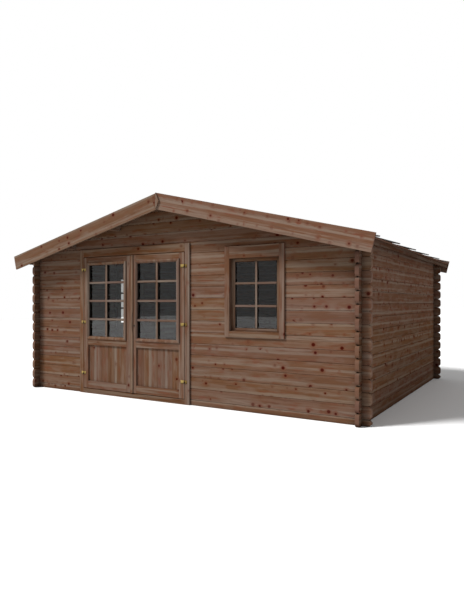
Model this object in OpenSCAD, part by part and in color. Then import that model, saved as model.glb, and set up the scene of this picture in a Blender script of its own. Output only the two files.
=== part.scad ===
// Garden log cabin with a low gable roof, a glazed double door and two fixed windows.
// Millimetres. +Z up, front towards -Y, origin at the middle of the footprint on the ground.

/* [Walls] */
// Width across the outer faces of the two side walls
wall_w = 5000; // [4900:10:5100]
// Depth across the outer faces of the front and back walls
wall_d = 4000; // [3800:10:4200]
// Thickness of a wall log
log_t = 44; // [40:1:46]
// Height of one log course
log_h = 140; // [138:1:142]
// How far the log ends stand out past the crossing wall
log_end = 100; // [80:1:110]
// Size of the V-joint chamfer along the log edges
log_v = 5; // [4:0.5:10]

/* [Roof] */
// Height of the roof boards' underside at the ridge
ridge_z = 2571; // [2560:1:2590]
// Roof pitch in degrees
pitch = 13.87; // [13:0.05:14.5]
// Thickness of the roof boards
board_t = 18; // [15:1:20]
// Half width of the roof boards, ridge to eave, measured level
eave_x = 2700; // [2680:5:2720]
// Front overhang, wall face to the front of the barge boards
over_front = 258; // [240:1:280]
// Rear overhang, wall face to the back of the barge boards
over_rear = 130; // [128:1:150]
// Width of a barge board, square to the slope
barge_h = 200; // [180:1:210]
// Thickness of a barge board
barge_t = 22; // [18:1:26]
// Length of roof felt exposed between laps
felt_step = 825; // [800:1:850]

/* [Door] */
// Middle of the doorway across the front
door_x = -625; // [-700:5:-560]
// Half width between the two frame posts
door_half = 883; // [860:1:890]
// Width of the frame face beside the leaf
door_face = 74; // [70:1:80]
// Top of the threshold
sill_z = 65; // [60:1:75]
// Underside of the frame head
head_z = 1913; // [1905:1:1920]
// Thickness of a door leaf
leaf_t = 40; // [36:1:42]
// Width of the leaf stiles on the hinge side
stile_w = 85; // [80:1:90]
// Width of the left leaf's meeting stile
meet_l = 117; // [100:1:125]
// Width of the right leaf's meeting stile
meet_r = 47; // [44:1:60]
// Height of the lowest hinge
hinge_low = 285; // [250:5:320]
// Height of the middle hinge
hinge_mid = 1000; // [950:5:1050]
// Height of the top hinge
hinge_top = 1735; // [1700:5:1760]

/* [Windows] */
// Middle of the front window across the front
win_x = 1234; // [1200:1:1260]
// Middle of the side window along the left wall
win_y = 86; // [60:1:220]
// Width of the front window opening inside its frame
win_w = 652; // [640:1:660]
// Width of the side window opening inside its frame
side_w = 636; // [620:1:660]
// Width of the frame face beside the window opening
win_face = 68; // [64:1:72]

/* [Hidden] */
fit = 0.2;
gap = 0.5;
hinge_zs = [hinge_low, hinge_mid, hinge_top];
t = log_t;
y_mid = (over_front - over_rear) / 2;
yf = -wall_d / 2 + y_mid;
yb = wall_d / 2 + y_mid;
xs = wall_w / 2;
half = log_h / 2;
slope = tan(pitch);
function under(x) = ridge_z - slope * abs(x);
board_v = board_t / cos(pitch);
barge_f = yf - over_front;
barge_b = yb + over_rear;
barge_top = ridge_z + 61;
barge_tip = 2718;
er = 45;
notch = log_h / 4 + gap / 2;
nw = t + 0.6;
tongue = 9;
face = yf - 20;
back_face = yf + t + 20;
post_l = door_x - door_half;
post_r = door_x + door_half;
axis_y = face - 7;
leaf_gap = 6;
axis_l = post_l + leaf_gap / 2;
axis_r = post_r - leaf_gap / 2;
leaf_l0 = post_l + leaf_gap;
leaf_l1 = -588;
leaf_r0 = leaf_l1 + 8;
leaf_r1 = post_r - leaf_gap;
leaf_z0 = sill_z + 8;
leaf_z1 = head_z - 8;
stop_y = face + leaf_t + 6;
cut_l = post_l - 36;
cut_r = post_r + 36;
cut_z = 1960;
wcut = win_w / 2 + 28;
scut = side_w / 2 + 28;
win_z0 = half + 6 * log_h;
purlin_x = [850, 1700];
purlin_w = 44;
purlin_h = 115;
eave_z = 1855;
wood = "#7d604d";
dark_wood = "#6b5040";

// A (y, z) outline run along X, and an (x, z) outline run along Y.
module ext_x(x0, x1) { translate([x0, 0, 0]) rotate([90, 0, 90]) linear_extrude(x1 - x0) children(); }
module ext_y(y0, y1) { translate([0, y1, 0]) rotate([90, 0, 0]) linear_extrude(y1 - y0) children(); }
// A box from one corner to the other.
module blk(a, b) { translate(a) cube([b[0] - a[0], b[1] - a[1], b[2] - a[2]]); }

// Cross-section of a log: chamfered edges, a groove below and a tongue above.
module log_section(u0, z0, z1, groove) {
    m = u0 + t / 2;
    polygon(concat(
        [[u0 + log_v, z0]],
        groove ? [[m - 8, z0], [m - 8, z0 + tongue + 1], [m + 8, z0 + tongue + 1], [m + 8, z0]] : [],
        [[u0 + t - log_v, z0], [u0 + t, z0 + log_v], [u0 + t, z1 - log_v], [u0 + t - log_v, z1],
         [m + 7, z1], [m + 7, z1 + tongue], [m - 7, z1 + tongue], [m - 7, z1],
         [u0 + log_v, z1], [u0, z1 - log_v], [u0, z0 + log_v]]));
}

// Side outline of a log from a to b. Free ends have rounded corners and no tongue at the tip.
module log_outline(a, b, z0, z1, ra, rb) {
    polygon(concat(
        ra ? [for (i = [0:5]) [a + er - er * cos(18 * i), z0 + er - er * sin(18 * i)]] : [[a, z0]],
        rb ? [for (i = [0:5]) [b - er + er * sin(18 * i), z0 + er - er * cos(18 * i)]] : [[b, z0]],
        rb ? concat([for (i = [0:5]) [b - er + er * cos(18 * i), z1 - er + er * sin(18 * i)]],
                    [[b - er - 2, z1], [b - er - 2, z1 + tongue]]) : [[b, z1 + tongue]],
        ra ? concat([[a + er + 2, z1 + tongue], [a + er + 2, z1]],
                    [for (i = [0:5]) [a + er - er * sin(18 * i), z1 - er + er * cos(18 * i)]]) : [[a, z1 + tongue]]));
}

// One log along X. nt and nb are the corner notches in its top and its underside.
module log_x(a, b, z0, z1, y0, ra, rb, nt, nb, groove) {
    difference() {
        intersection() {
            ext_x(a - 1, b + 1) log_section(y0, z0, z1, groove);
            ext_y(y0 - 1, y0 + t + 1) log_outline(a, b, z0, z1, ra, rb);
        }
        for (c = nt) blk([c - nw / 2, y0 - 5, z1 + gap / 2 - notch], [c + nw / 2, y0 + t + 5, z1 + 30]);
        for (c = nb) blk([c - nw / 2, y0 - 5, z0 - 30], [c + nw / 2, y0 + t + 5, z0 - gap / 2 + notch]);
    }
}

// One log along Y.
module log_y(a, b, z0, z1, x0, ra, rb, nt, nb, groove) {
    difference() {
        intersection() {
            ext_y(a - 1, b + 1) log_section(x0, z0, z1, groove);
            ext_x(x0 - 1, x0 + t + 1) log_outline(a, b, z0, z1, ra, rb);
        }
        for (c = nt) blk([x0 - 5, c - nw / 2, z1 + gap / 2 - notch], [x0 + t + 5, c + nw / 2, z1 + 30]);
        for (c = nb) blk([x0 - 5, c - nw / 2, z0 - 30], [x0 + t + 5, c + nw / 2, z0 - gap / 2 + notch]);
    }
}

// Everything below the roof boards.
module roof_prism() {
    ext_y(yf - 500, yb + 500) polygon([[-3000, -50], [3000, -50], [3000, under(3000) - fit], [0, under(0) - fit], [-3000, under(3000) - fit]]);
}

// Bottom and top of course k on the front and back (course -1 is the half log) and on the sides.
function fz0(k) = k < 0 ? 0 : half + k * log_h + gap / 2;
function fz1(k) = half + (k + 1) * log_h - gap / 2;
function sz0(k) = k == 0 ? 0 : k * log_h + gap / 2;
function sz1(k) = (k + 1) * log_h - gap / 2;
xl = -xs + t / 2;
xr = xs - t / 2;
xe = xs + log_end;

module front_wall_left() {
    color(wood) for (k = [-1:12])
        log_x(-xe, cut_l - 1, fz0(k), fz1(k), yf, true, false, [xl], k < 0 ? [] : [xl], k >= 0);
}

module front_wall_right() {
    color(wood) for (k = [-1:12])
        if (k < 6) difference() {
            log_x(cut_r + 1, xe, fz0(k), fz1(k), yf, false, true, [xr], k < 0 ? [] : [xr], k >= 0);
            if (k == 5) blk([win_x - wcut - 1, yf - 5, fz1(k)], [win_x + wcut + 1, yf + t + 5, fz1(k) + 30]);
        }
        else {
            log_x(cut_r + 1, win_x - wcut - 1, fz0(k), fz1(k), yf, false, false, [], [], true);
            log_x(win_x + wcut + 1, xe, fz0(k), fz1(k), yf, false, true, [xr], [xr], true);
        }
}

// Ridge beam and purlins, drawn a little larger to cut their seats in the gable logs.
module beam(x, w, c) {
    zb = under(abs(x) + w / 2) - purlin_h;
    intersection() {
        blk([x - w / 2 - c, barge_f + barge_t + fit - c, zb - c], [x + w / 2 + c, barge_b - barge_t - fit + c, ridge_z + 20]);
        translate([0, 0, c > 0 ? 40 : 0]) roof_prism();
    }
}
module all_beams(c) {
    beam(0, 58, c);
    for (s = [-1, 1], p = purlin_x) beam(s * p, purlin_w, c);
}

// The gable courses over the walls, cut to the slope and seated round the beams.
module gable(y0, door) {
    difference() {
        intersection() {
            for (k = [13:17])
                log_x(-xe, xe, fz0(k), fz1(k), y0, k == 13, k == 13, [], k == 13 ? [xl, xr] : [], true);
            roof_prism();
        }
        all_beams(0.3);
        if (door) blk([cut_l - 1, y0 - 5, 1800], [cut_r + 1, y0 + t + 5, cut_z]);
    }
}
module front_gable() { color(wood) gable(yf, true); }

module back_wall() {
    color(wood) for (k = [-1:12])
        log_x(-xe, xe, fz0(k), fz1(k), yb - t, true, true, [xl, xr], k < 0 ? [] : [xl, xr], k >= 0);
}
module back_gable() { color(wood) gable(yb - t, false); }

yfc = yf + t / 2;
ybc = yb - t / 2;
module side_log(k, x0) { log_y(yf - log_end, yb + log_end, sz0(k), sz1(k), x0, true, true, [yfc, ybc], [yfc, ybc], k > 0); }

module left_wall() {
    color(wood) for (k = [0:13])
        if (k == 13) intersection() { side_log(k, -xs); roof_prism(); }
        else if (k < 6) difference() {
            side_log(k, -xs);
            if (k == 5) blk([-xs - 5, win_y - scut - 1, sz1(k)], [-xs + t + 5, win_y + scut + 1, sz1(k) + 30]);
        }
        else {
            log_y(yf - log_end, win_y - scut - 1, sz0(k), sz1(k), -xs, true, false, [yfc], [yfc], true);
            log_y(win_y + scut + 1, yb + log_end, sz0(k), sz1(k), -xs, false, true, [ybc], [ybc], true);
        }
}
module right_wall() {
    color(wood) for (k = [0:13])
        if (k == 13) intersection() { side_log(k, xs - t); roof_prism(); }
        else side_log(k, xs - t);
}

module ridge_beam() { color(dark_wood) beam(0, 58, 0); }
// Purlins, and a batten under the boards along each eave.
module eave_batten() {
    intersection() {
        blk([eave_x - 50, barge_f + barge_t + fit, eave_z], [eave_x - 20, barge_b - barge_t - fit, ridge_z]);
        roof_prism();
    }
}
module purlins() {
    color(dark_wood) {
        for (s = [-1, 1], p = purlin_x) beam(s * p, purlin_w, 0);
        for (m = [0, 1]) mirror([m, 0, 0]) eave_batten();
    }
}

// Roof boarding of one slope, right-hand side.
module roof_boards() {
    ext_y(barge_f + barge_t + fit, barge_b - barge_t - fit)
        polygon([[gap, under(gap)], [eave_x, under(eave_x)], [eave_x, under(eave_x) + board_v], [gap, under(gap) + board_v]]);
}
module roof_boards_right() { color(dark_wood) roof_boards(); }
module roof_boards_left() { color(dark_wood) mirror([1, 0, 0]) roof_boards(); }

// Lapped sheets of roof felt, thin at the front and built up at the back, each tucked under the back edge of the one before it.
felt_y0 = barge_f + barge_t + 1;
felt_y1 = barge_b - barge_t - 1;
felt_first = 140;
felt_lap = 80;
felt_t = 13;
felt_front = 2;
felt_rise = 14;
felt_len = (eave_x + 10) / cos(pitch);
module felt_sheet(a, b, rise, thick) {
    rotate([0, pitch, 0]) ext_x(4, felt_len)
        polygon([[a, 0.5], [b, 0.5 + rise], [b, 0.5 + rise + thick], [a, 0.5 + felt_front]]);
}
module felt() {
    translate([0, 0, ridge_z + board_v]) {
        felt_sheet(felt_y0, felt_y0 + felt_first, felt_rise, felt_t);
        for (i = [0:4]) felt_sheet(felt_y0 + felt_first - felt_lap + i * felt_step, felt_y0 + felt_first + (i + 1) * felt_step, felt_rise, felt_t);
        felt_sheet(felt_y0 + felt_first - felt_lap + 5 * felt_step, felt_y1, 2, 5);
    }
}
module roof_felt_right() { color("#4a4a4a") felt(); }
module roof_felt_left() { color("#4a4a4a") mirror([1, 0, 0]) felt(); }
module ridge_felt() {
    zr = ridge_z + board_v + 30;
    color("#4a4a4a") for (m = [0, 1]) mirror([m, 0, 0]) ext_y(felt_y0, felt_y1)
        polygon([[fit, zr - fit * slope], [160, zr - 160 * slope], [160, zr - 160 * slope + 4], [fit, zr - fit * slope + 4]]);
}

// Barge board of one slope, right-hand side, its tip cut square to the slope.
module barge(y0) {
    zt = barge_top - slope * barge_tip;
    ext_y(y0, y0 + barge_t) polygon([[gap, barge_top - slope * gap], [gap, barge_top - barge_h / cos(pitch)],
        [barge_tip - barge_h * sin(pitch), zt - barge_h * cos(pitch)], [barge_tip, zt]]);
}
module barge_front_right() { color(wood) barge(barge_f); }
module barge_front_left() { color(wood) mirror([1, 0, 0]) barge(barge_f); }
module barge_rear_right() { color(wood) barge(barge_b - barge_t); }
module barge_rear_left() { color(wood) mirror([1, 0, 0]) barge(barge_b - barge_t); }

// Diamond plates over the joint of the barge boards.
module gable_finials() {
    zc = barge_top - 103;
    color(wood) for (y0 = [barge_f - 20, barge_b + fit])
        ext_y(y0, y0 + 20 - fit) polygon([[0, zc - 103], [51, zc], [0, zc + 103], [-51, zc]]);
}

// Floor inside the walls.
floor_z = 70;
module floor_boards() { color(dark_wood) blk([-xs + t + 2, back_face + 2, floor_z - 19], [xs - t - 2, yb - t - 2, floor_z]); }
module floor_joists() {
    color(dark_wood) for (i = [-3:3]) blk([i * 780 - 22, back_face + 4, 0], [i * 780 + 22, yb - t - 4, floor_z - 19 - fit]);
}

// Door frame: posts and head grooved over the log ends, with a stop behind the leaf.
module post_section() {
    polygon([[0, face], [0, stop_y], [15, stop_y], [15, back_face], [-door_face, back_face], [-door_face, yf + t + 1],
        [-36, yf + t + 1], [-36, yf - 1], [-door_face, yf - 1], [-door_face, face + 4], [-door_face + 4, face]]);
}
frame_top = 2018;
module post() {
    difference() {
        linear_extrude(frame_top) post_section();
        blk([-door_face - 1, yf - 1, cut_z - 1], [20, yf + t + 1, frame_top + 1]);
        blk([0, stop_y - 1, head_z - 15 - fit], [20, back_face + 1, frame_top + 1]);
    }
}
module door_posts() {
    color(wood) {
        translate([post_l, 0, 0]) post();
        translate([post_r, 0, 0]) mirror([1, 0, 0]) post();
    }
}
module door_head() {
    color(wood) ext_x(post_l + fit, post_r - fit) polygon([[face, head_z], [stop_y, head_z], [stop_y, head_z - 15], [back_face, head_z - 15],
        [back_face, frame_top], [yf + t + 1, frame_top], [yf + t + 1, cut_z - 1], [yf - 1, cut_z - 1], [yf - 1, frame_top], [face, frame_top]]);
}
module door_threshold() {
    color(dark_wood) difference() {
        ext_x(post_l + fit, post_r - fit)
            polygon([[face, 0], [back_face, 0], [back_face, sill_z + 8], [stop_y, sill_z + 8], [stop_y, sill_z], [face + 8, sill_z], [face, sill_z - 8]]);
        for (x = [post_l, post_r - 15 - fit]) blk([x, stop_y - fit, -1], [x + 15 + fit, back_face + 1, sill_z + 10]);
    }
}

// Hinges: face plates with three short knuckles on a fixed pin, open below the barrel.
hk = 6.4;
hz0 = 0;
hz1 = hz0 + 3 * hk + 0.8;
plate_z0 = -22;
plate_frame = 38;
plate_leaf = [42, 58];
module knuckle(i) { translate([0, 0, hz0 + i * (hk + 0.4)]) cylinder(r = 6, h = hk, $fn = 48); }
module tab(i, s) { translate([0, 0, hz0 + i * (hk + 0.4)]) blk([s > 0 ? 2 : -12, 4, 0], [s > 0 ? 12 : -2, 7 - fit, hk]); }
module plate(s, w) { blk([s > 0 ? 11 : -w, 4, plate_z0], [s > 0 ? w : -11, 7 - fit, hz1]); }
module frame_hinge(s) {
    for (z = hinge_zs) translate([0, axis_y, z]) {
        plate(-s, plate_frame);
        for (i = [0, 2]) {
            knuckle(i);
            tab(i, -s);
        }
        translate([0, 0, hz0]) cylinder(r = 3, h = hz1 - hz0, $fn = 48);
    }
}
module leaf_hinge(s) {
    for (z = hinge_zs) translate([0, axis_y, z]) difference() {
        union() {
            plate(s, plate_leaf[s > 0 ? 0 : 1]);
            knuckle(1);
            tab(1, s);
        }
        translate([0, 0, hz0 - 20]) cylinder(r = 3.08, h = hz1 - hz0 + 40, $fn = 48);
    }
}
module door_frame_hinges() {
    color("#a8893f") {
        translate([axis_l, 0, 0]) frame_hinge(1);
        translate([axis_r, 0, 0]) frame_hinge(-1);
    }
}
module door_left_hinges() { color("#a8893f") translate([axis_l, 0, 0]) leaf_hinge(1); }
module door_right_hinges() { color("#a8893f") translate([axis_r, 0, 0]) leaf_hinge(-1); }

// Door leaves: two stiles, three rails, a boarded panel below and glass above.
rail_b = 175;
rail_m0 = 680;
rail_m1 = 770;
rail_t = 1830;
leaf_b = face + leaf_t;
in_l0 = leaf_l0 + stile_w;
in_l1 = leaf_l1 - meet_l;
in_r0 = leaf_r0 + meet_r;
in_r1 = leaf_r1 - stile_w;
module stiles(a, b, i0, i1) {
    blk([a, face, leaf_z0], [i0, leaf_b, leaf_z1]);
    blk([i1, face, leaf_z0], [b, leaf_b, leaf_z1]);
}
module rails(i0, i1) {
    for (r = [[leaf_z0, rail_b], [rail_m0, rail_m1], [rail_t, leaf_z1]])
        blk([i0 + fit, face, r[0]], [i1 - fit, leaf_b, r[1]]);
}
module panel(i0, i1) { blk([i0 + fit, face + 20, rail_b + fit], [i1 - fit, face + 32, rail_m0 - fit]); }
module pane(i0, i1) { blk([i0 + fit, face + 28, rail_m1 + fit], [i1 - fit, face + 32, rail_t - fit]); }
module door_left_stiles() { color(wood) stiles(leaf_l0, leaf_l1, in_l0, in_l1); }
module door_left_rails() { color(wood) rails(in_l0, in_l1); }
module door_left_panel() { color(wood) panel(in_l0, in_l1); }
module door_left_glass() { color([0.3, 0.32, 0.34, 0.5]) pane(in_l0, in_l1); }
module door_right_stiles() { color(wood) stiles(leaf_r0, leaf_r1, in_r0, in_r1); }
module door_right_rails() { color(wood) rails(in_r0, in_r1); }
module door_right_panel() { color(wood) panel(in_r0, in_r1); }
module door_right_glass() { color([0.3, 0.32, 0.34, 0.5]) pane(in_r0, in_r1); }
// Cover strip on the left leaf, hollowed on its free edge beside the lock.
scoop_z0 = 873;
scoop_z1 = 1150;
scoop = 15;
scoop_r = 55;
function ease(u) = (1 - cos(180 * u)) / 2;
module door_meeting_strip() {
    color(wood) ext_y(face - 9, face - fit) polygon(concat(
        [[leaf_l1 - 37, leaf_z1], [leaf_l1 - 37, leaf_z0], [leaf_l1, leaf_z0]],
        [for (i = [0:8]) [leaf_l1 - scoop * ease(i / 8), scoop_z0 + scoop_r * i / 8]],
        [for (i = [0:8]) [leaf_l1 - scoop * ease(1 - i / 8), scoop_z1 - scoop_r * (1 - i / 8)]],
        [[leaf_l1, leaf_z1]]));
}
module door_lock() {
    color("#3a3a3a") translate([leaf_r0 + 14, face - fit, 968]) rotate([90, 0, 0]) {
        cylinder(r = 12, h = 4, $fn = 48);
        cylinder(r = 8, h = 9, $fn = 48);
    }
}

// A window of the front wall, seen as (x, z) with its opening's low edge at wz0; the side window is the same turned.
win_h = 850;
rail_w = 37;
rail_low = 27;
sash_w = 48;
lip0 = 42;
lip1 = 52;
module win_post(wz) {
    top = wz + 7 * log_h;
    difference() {
        translate([0, 0, wz - lip0]) linear_extrude(lip0 + 7 * log_h + lip1)
            polygon([[0, face], [0, yf + 63], [-win_face, yf + 63], [-win_face, yf + t + 1], [-27, yf + t + 1], [-27, yf - 1],
                [-win_face, yf - 1], [-win_face, face + 4], [-win_face + 4, face]]);
        blk([-40, yf - 1, wz - lip0 - 1], [1, yf + t + 1, wz + 1]);
        blk([-40, yf - 1, top - 1], [1, yf + t + 1, top + lip1 + 1]);
    }
}
module win_posts(wz, w) {
    translate([-w / 2, 0, 0]) win_post(wz);
    translate([w / 2, 0, 0]) mirror([1, 0, 0]) win_post(wz);
}
module win_head_sill(wz, w) {
    top = wz + 7 * log_h;
    op0 = wz + 37;
    op1 = op0 + win_h;
    ext_x(-w / 2 + fit, w / 2 - fit) polygon([[face, op1], [yf + 63, op1], [yf + 63, top + lip1], [yf + t + 1, top + lip1],
        [yf + t + 1, top - 1], [yf - 1, top - 1], [yf - 1, top + lip1], [face, top + lip1]]);
    ext_x(-w / 2 + fit, w / 2 - fit) polygon([[face, wz - lip0], [yf - 1, wz - lip0], [yf - 1, wz + 1], [yf + t + 1, wz + 1],
        [yf + t + 1, wz - lip0], [yf + 63, wz - lip0], [yf + 63, op0], [yf + 22, op0], [face, op0 - 10]]);
}
module win_sash(wz, w) {
    op0 = wz + 37;
    op1 = op0 + win_h;
    y0 = yf + 34;
    y1 = yf + 62;
    for (s = [-1, 1]) blk([s > 0 ? w / 2 - sash_w : -w / 2 + fit, y0, op0 + fit], [s > 0 ? w / 2 - fit : -w / 2 + sash_w, y1, op1 - fit]);
    for (r = [[op0 + fit, op0 + rail_low], [op1 - rail_w, op1 - fit]]) blk([-w / 2 + sash_w + fit, y0, r[0]], [w / 2 - sash_w - fit, y1, r[1]]);
}
module win_glass(wz, w) {
    op0 = wz + 37;
    op1 = op0 + win_h;
    blk([-w / 2 + sash_w + fit, yf + 46, op0 + rail_low + fit], [w / 2 - sash_w - fit, yf + 50, op1 - rail_w - fit]);
}
module at_front() { translate([win_x, 0, 0]) children(); }
module at_left() { translate([-xs - yf, win_y, 0]) rotate([0, 0, -90]) children(); }
win_z1 = 6 * log_h;
module front_window_posts() { color(wood) at_front() win_posts(win_z0, win_w); }
module front_window_head_sill() { color(wood) at_front() win_head_sill(win_z0, win_w); }
module front_window_sash() { color(wood) at_front() win_sash(win_z0, win_w); }
module front_window_glass() { color([0.3, 0.32, 0.34, 0.5]) at_front() win_glass(win_z0, win_w); }
module left_window_posts() { color(wood) at_left() win_posts(win_z1, side_w); }
module left_window_head_sill() { color(wood) at_left() win_head_sill(win_z1, side_w); }
module left_window_sash() { color(wood) at_left() win_sash(win_z1, side_w); }
module left_window_glass() { color([0.3, 0.32, 0.34, 0.5]) at_left() win_glass(win_z1, side_w); }

front_wall_left();
front_wall_right();
front_gable();
back_wall();
back_gable();
left_wall();
right_wall();
ridge_beam();
purlins();
roof_boards_left();
roof_boards_right();
roof_felt_left();
roof_felt_right();
ridge_felt();
barge_front_left();
barge_front_right();
barge_rear_left();
barge_rear_right();
gable_finials();
floor_boards();
floor_joists();
door_posts();
door_head();
door_threshold();
door_frame_hinges();
door_left_stiles();
door_left_rails();
door_left_panel();
door_left_glass();
door_left_hinges();
door_meeting_strip();
door_right_stiles();
door_right_rails();
door_right_panel();
door_right_glass();
door_right_hinges();
door_lock();
front_window_posts();
front_window_head_sill();
front_window_sash();
front_window_glass();
left_window_posts();
left_window_head_sill();
left_window_sash();
left_window_glass();
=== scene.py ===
# Log cabin: finish, joinery details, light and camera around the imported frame.
import math
import random
import bpy
import bmesh
import numpy as np
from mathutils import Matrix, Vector


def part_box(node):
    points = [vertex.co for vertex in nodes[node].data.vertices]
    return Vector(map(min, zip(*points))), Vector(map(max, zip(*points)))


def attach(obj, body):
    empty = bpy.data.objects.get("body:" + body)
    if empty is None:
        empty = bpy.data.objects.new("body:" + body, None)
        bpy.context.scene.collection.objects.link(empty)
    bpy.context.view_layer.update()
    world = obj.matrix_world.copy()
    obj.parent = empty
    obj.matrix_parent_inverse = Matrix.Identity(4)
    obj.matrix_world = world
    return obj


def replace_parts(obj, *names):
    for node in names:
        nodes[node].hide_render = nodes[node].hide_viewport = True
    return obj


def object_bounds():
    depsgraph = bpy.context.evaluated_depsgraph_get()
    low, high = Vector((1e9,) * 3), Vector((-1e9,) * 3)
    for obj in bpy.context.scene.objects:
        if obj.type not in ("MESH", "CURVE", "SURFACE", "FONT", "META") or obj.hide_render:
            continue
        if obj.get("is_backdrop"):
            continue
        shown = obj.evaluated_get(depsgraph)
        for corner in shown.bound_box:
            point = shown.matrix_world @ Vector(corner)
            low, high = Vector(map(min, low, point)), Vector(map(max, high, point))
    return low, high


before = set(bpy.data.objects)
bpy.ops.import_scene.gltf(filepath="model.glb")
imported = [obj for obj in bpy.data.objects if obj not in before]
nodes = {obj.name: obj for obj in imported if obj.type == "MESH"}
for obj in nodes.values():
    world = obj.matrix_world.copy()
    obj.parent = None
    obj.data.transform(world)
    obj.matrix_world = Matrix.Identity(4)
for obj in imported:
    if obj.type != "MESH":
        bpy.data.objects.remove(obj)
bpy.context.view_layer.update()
scene = bpy.context.scene
MM = 0.001

# ---------------------------------------------------------------- main sizes, metres
PITCH = math.radians(13.87)
SLOPE = math.tan(PITCH)
CP, SP = math.cos(PITCH), math.sin(PITCH)
RIDGE = 2.571
BOARD = 0.018
EAVE = 2.700
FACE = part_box("door_left_stiles")[0].y
LEAF_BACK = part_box("door_left_stiles")[1].y
Y_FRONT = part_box("front_wall_left")[0].y
ROOF_Y0, ROOF_Y1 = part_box("roof_boards_right")[0].y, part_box("roof_boards_right")[1].y


def under(x):
    return RIDGE - SLOPE * abs(x)


# ---------------------------------------------------------------- node trees
LIGHT = 1.6


def lin(r, g, b, k=LIGHT):
    def f(c):
        c /= 255.0
        return c / 12.92 if c <= 0.04045 else ((c + 0.055) / 1.055) ** 2.4
    return (f(r) / k, f(g) / k, f(b) / k, 1.0)


class Tree:
    """A material's node tree, with short calls for the nodes used here."""

    def __init__(self, name):
        self.mat = bpy.data.materials.new(name)
        self.mat.use_nodes = True
        self.nt = self.mat.node_tree
        self.nt.nodes.clear()
        self.out = self.nt.nodes.new("ShaderNodeOutputMaterial")

    def put(self, sock, v):
        if isinstance(v, bpy.types.NodeSocket):
            self.nt.links.new(v, sock)
        else:
            sock.default_value = v

    def node(self, kind, ins=None, **props):
        n = self.nt.nodes.new(kind)
        for k, v in props.items():
            setattr(n, k, v)
        for k, v in (ins or {}).items():
            self.put(n.inputs[k], v)
        return n

    def math(self, op, a, b=None, c=None):
        n = self.node("ShaderNodeMath", operation=op)
        for i, v in enumerate((a, b, c)):
            if v is not None:
                self.put(n.inputs[i], v)
        return n.outputs[0]

    def mul(self, a, b):
        return self.math("MULTIPLY", a, b)

    def add(self, a, b):
        return self.math("ADD", a, b)

    def sub(self, a, b):
        return self.math("SUBTRACT", a, b)

    def sep(self, v):
        n = self.node("ShaderNodeSeparateXYZ", {0: v})
        return n.outputs[0], n.outputs[1], n.outputs[2]

    def vec(self, x, y, z):
        return self.node("ShaderNodeCombineXYZ", {0: x, 1: y, 2: z}).outputs[0]

    def noise(self, v, scale=1.0, detail=2.0, rough=0.5, dist=0.0):
        return self.node("ShaderNodeTexNoise", {"Vector": v, "Scale": scale, "Detail": detail,
                                                "Roughness": rough, "Distortion": dist}).outputs[0]

    def smooth(self, v, a, b, lo=0.0, hi=1.0):
        n = self.node("ShaderNodeMapRange", {"Value": v, "From Min": a, "From Max": b, "To Min": lo, "To Max": hi},
                      interpolation_type="SMOOTHSTEP")
        return n.outputs[0]

    def line(self, v, a, b, lo, hi):
        n = self.node("ShaderNodeMapRange", {"Value": v, "From Min": a, "From Max": b, "To Min": lo, "To Max": hi})
        return n.outputs[0]

    def mix(self, f, a, b, blend="MIX"):
        n = self.node("ShaderNodeMix", data_type="RGBA", blend_type=blend)
        self.put(n.inputs[0], f)
        self.put(n.inputs[6], a)
        self.put(n.inputs[7], b)
        return n.outputs[2]

    def dot(self, a, b):
        return self.node("ShaderNodeVectorMath", {0: a, 1: b}, operation="DOT_PRODUCT").outputs["Value"]

    def attr(self, name):
        return self.node("ShaderNodeAttribute", attribute_name=name).outputs["Vector"]

    def bump(self, h, strength, dist):
        return self.node("ShaderNodeBump", {"Height": h, "Strength": strength, "Distance": dist}).outputs[0]

    def surface(self, **ins):
        p = self.node("ShaderNodeBsdfPrincipled")
        for k, v in ins.items():
            self.put(p.inputs[k.replace("_", " ")], v)
        self.nt.links.new(p.outputs[0], self.out.inputs[0])
        return self.mat


BROWN = lin(112, 78, 56)
UMBER = lin(103, 70, 49)
RUST = lin(115, 69, 49)
ROSE = lin(121, 94, 78)
PALE = lin(133, 114, 99)
DARK = lin(84, 56, 40)
MAROON = lin(70, 19, 6)
HALO = lin(109, 66, 47)


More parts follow.
